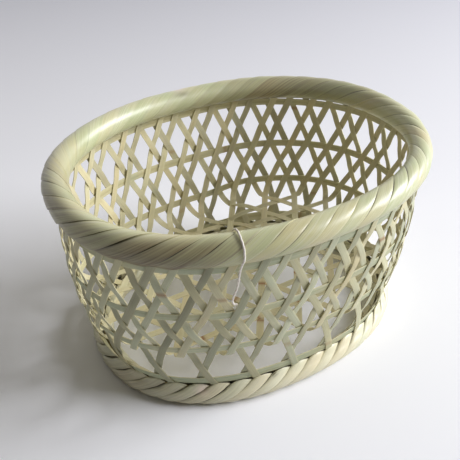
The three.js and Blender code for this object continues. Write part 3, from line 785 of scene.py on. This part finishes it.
def make_wrapped(name, node, slot, ring, turns, profile, thickness, wobble, shape, look, notch, lip, loose,
                 scars_and_highlights):
    """Bands wound round a ring.

    turns are the degrees round the ring's section that the bands cover. profile gives, for points across
    a band, how far each is below the outer radius. wobble, lip and loose are how far a band's edge waves,
    its top stands up and its edge lifts off at the front left.
    """
    across, drop = np.array(profile).T
    w = np.concatenate([across, across[::-1]])
    drop = np.concatenate([drop, drop[::-1]])
    inner = np.concatenate([np.zeros(len(across)), np.full(len(across), thickness)])
    top = inner == 0
    angle = np.radians(turns)
    outside = smooth((105 - np.abs(turns)) / 65)
    upper = smooth((turns - 12) / 45)
    # below darkens the lower side of the ring: painted shade
    below = smooth((8 - turns) / 50) * smooth((turns + 130) / 50)
    edge_lift = smooth((w - 0.55) / 0.45)[None, :]
    lip_shape = 0.55 + 0.45 * np.sin(math.pi * np.clip(w, 0, 1))
    lip_rise = lip * smooth((turns - 48) / 30)[:, None] * lip_shape[None, :]
    strips = Strips()
    for band in range(BAND_COUNT):
        stain_and_shade, seam, seam_end = look(band + random.uniform(-0.6, 0.6))
        relief = seam * (0.3 + 0.7 * smooth((seam_end - np.abs(turns)) / 65))
        edge_wave = wobble * random.uniform(-1, 1) * np.sin(angle * 1.3 + random.uniform(0, 6))
        lift = seam * random.uniform(0, 0.5) * np.exp(-((angle - random.uniform(-0.6, 1.4)) / 0.8) ** 2)
        loose_here = loose * bump_at(band, 25, 3.4) * random.uniform(0.2, 1)
        lift = lift + loose_here * np.exp(-((angle + 0.85) / 0.6) ** 2)
        open_seam = notch(band) * random.uniform(0.2, 1) * upper
        share = (band + w[None, :] * (1 + 0.04 * random.uniform(-1, 1)) + edge_wave[:, None]
                 + BAND_TWIST * angle[:, None] / (2 * math.pi)) / BAND_COUNT

        depth = drop[None, :] * relief[:, None] + random.uniform(-0.05, 0.1)
        depth = depth + 1.1 * open_seam[:, None] * smooth((0.26 - w) / 0.2)[None, :]
        shape_out, shape_up, shape_thick = shape(share * SPLINT_COUNT)
        radius = ring["r"] + shape_thick - depth - inner[None, :] + lift[:, None] * edge_lift
        x, y = oval_point(ring["a"], ring["b"], angle_of_share(share))
        ox, oy = oval_outward(ring["a"], ring["b"], x, y)
        out = radius * np.cos(angle)[:, None] + shape_out + 0.12 * lip_rise
        z = ring["z"] + shape_up + radius * np.sin(angle)[:, None]
        z = np.maximum(z + lip_rise, np.where(top, 0, thickness)[None, :])

        shift = random.uniform(0, 5)
        along = angle * ring["r"] * MM * 1.4 + shift
        around = np.append(w * 16, w[0] * 16) * MM + shift
        tint = random.uniform(-0.4, 0.35)
        # Painted shade along each seam between bands and in the gaps of open seams
        dark_line = np.where(w < 0.03, 1.0, np.where(w < 0.05, smooth((seam - 0.75) / 0.35), 0.0))
        seam_shade_and_scar = np.minimum(1, dark_line[None, :] * (relief * random.uniform(0.65, 1.1))[:, None])
        seam_shade_and_scar = np.maximum(seam_shade_and_scar, np.where(w[None, :] < 0.13, np.minimum(1, 1.3 * open_seam[:, None]), 0))
        scar_and_highlight, dark_scar = scar_and_highlight_values(scars_and_highlights, share, turns, ring["r"])
        # The top edge of each band is lightened the same way, partly a painted highlight
        strips.add(np.stack([x + ox * out, y + oy * out, z], -1), False, along, around,
                   {"skin": top[None, :], "edge": np.where(top & (w > 0.99), 0.6, 0.0)[None, :],
                    "seam_shade_and_scar": np.maximum(seam_shade_and_scar, dark_scar), "mark": 0.0, "tint": tint, "scar_and_highlight": scar_and_highlight * top,
                    "stain_and_shade": (stain_and_shade[1] + (stain_and_shade[0] - stain_and_shade[1]) * outside + 0.22 * below)[:, None]
                    * (0.8 + 0.2 * w[None, :])})
    add_piece(name, strips.mesh(name, 50), slot, node)


RIM_PROFILE = [(-0.14, 0.9), (-0.01, 0.72), (0.035, 0.6), (0.09, 0.42), (0.2, 0.26), (0.38, 0.1), (0.6, 0.0),
               (0.8, 0.0), (0.93, 0.08), (1.0, 0.24)]
FOOT_PROFILE = [(-0.12, 1.9), (-0.01, 1.45), (0.035, 1.2), (0.1, 0.8), (0.2, 0.45), (0.36, 0.12), (0.56, 0.0),
                (0.76, 0.08), (0.9, 0.38), (1.0, 0.75)]
# The rim's pale patch at position 11 is paler bamboo with a painted highlight
make_wrapped("rim_bands", "rim_wrap", "rim_bamboo", RIM, turns=np.linspace(-74, 254, 60), profile=RIM_PROFILE,
             thickness=0.42, wobble=0.035, shape=rim_shape, look=rim_look, notch=rim_notch, lip=0, loose=1.2,
             scars_and_highlights=[(11.05, 66, 4.6, 0)])
make_wrapped("foot_bands", "foot_wrap", "foot_bamboo", FOOT, turns=np.linspace(-256, 79, 60),
             profile=FOOT_PROFILE, thickness=0.45, wobble=0.04, shape=foot_shape, look=foot_look,
             notch=foot_notch, lip=2.4, loose=0.6, scars_and_highlights=[(27.8, 60, 3.4, 0), (31.2, 69, 1.2, 1)])

for node in ("rim_core_outer", "rim_core_inner", "foot_core"):
    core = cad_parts[node]
    core.data.materials.clear()
    core.data.materials.append(MATERIALS["core_bamboo"])


# ---------------------------------------------------------------- table, light and background
TABLE_SIZE = 3.0
# The table's colour darkens toward the back: painted shade
TABLE_LIT, TABLE_DIM = srgb(249, 249, 250), srgb(205, 205, 210)
DIM_SIDE, DIM_RANGE = (0.45, 0.89, 0), (0.12, 0.8)
BRIGHT_SIDE = (0.45, 0.85, 0.5)
SKY_RANGE, SKY_LEVELS = (-0.2, 1), (0.03, 0.38)
SKY_COLOUR, SEEN_COLOUR = (1.0, 0.945, 0.83, 1), (1, 1, 1, 1)
WINDOW_PLACE, WINDOW_TARGET = Vector((2.48, -1.1, 1.766)), Vector((0, 0, 0.07))
WINDOW_SIZE, WINDOW_POWER, WINDOW_COLOUR = (2.2, 1.38), 150, (0.908, 0.922, 1.0)


def make_table():
    """A pale table whose colour darkens toward the back, painted shade of the light falling off."""
    mesh = bpy.data.meshes.new("table")
    corners = [(x * TABLE_SIZE, y * TABLE_SIZE, 0) for x, y in ((-1, -1), (1, -1), (1, 1), (-1, 1))]
    mesh.from_pydata(corners, [], [(0, 1, 2, 3)])
    material = bpy.data.materials.new("table")
    n = Nodes(material)
    dim = n.spread(n.dot(n.coordinates("Object"), DIM_SIDE), *DIM_RANGE)
    n.shade(Base_Color=n.mix(dim, TABLE_LIT, TABLE_DIM), Roughness=0.8)
    mesh.materials.append(material)
    link_object("table", mesh)


def make_window():
    """Cool daylight from the right."""
    data = bpy.data.lights.new("window", "AREA")
    data.shape = "RECTANGLE"
    data.size, data.size_y = WINDOW_SIZE
    data.energy = WINDOW_POWER
    data.color = WINDOW_COLOUR
    window = link_object("window", data)
    window.location = WINDOW_PLACE
    window.rotation_euler = (WINDOW_TARGET - WINDOW_PLACE).to_track_quat("-Z", "Y").to_euler()


def make_world():
    """Soft light from above and behind; white where the camera looks past the table."""
    world = bpy.data.worlds.new("world")
    bpy.context.scene.world = world
    n = Nodes(world)
    toward = n.dot(n.coordinates("Generated"), Vector(BRIGHT_SIDE).normalized())
    level = n.spread(toward, *SKY_RANGE, *SKY_LEVELS, interpolation="SMOOTHSTEP")
    path = n.add("ShaderNodeLightPath").outputs
    seen = n.math("MAXIMUM", path["Is Camera Ray"],
                  n.math("MAXIMUM", path["Is Glossy Ray"], path["Is Transmission Ray"]))
    background = n.tree.nodes["Background"]
    n.put(background, "Color", n.mix(seen, SKY_COLOUR, SEEN_COLOUR))
    n.put(background, "Strength", n.math("MAXIMUM", level, seen))


make_table()
make_window()
make_world()
bpy.context.scene.view_settings.view_transform = "Standard"
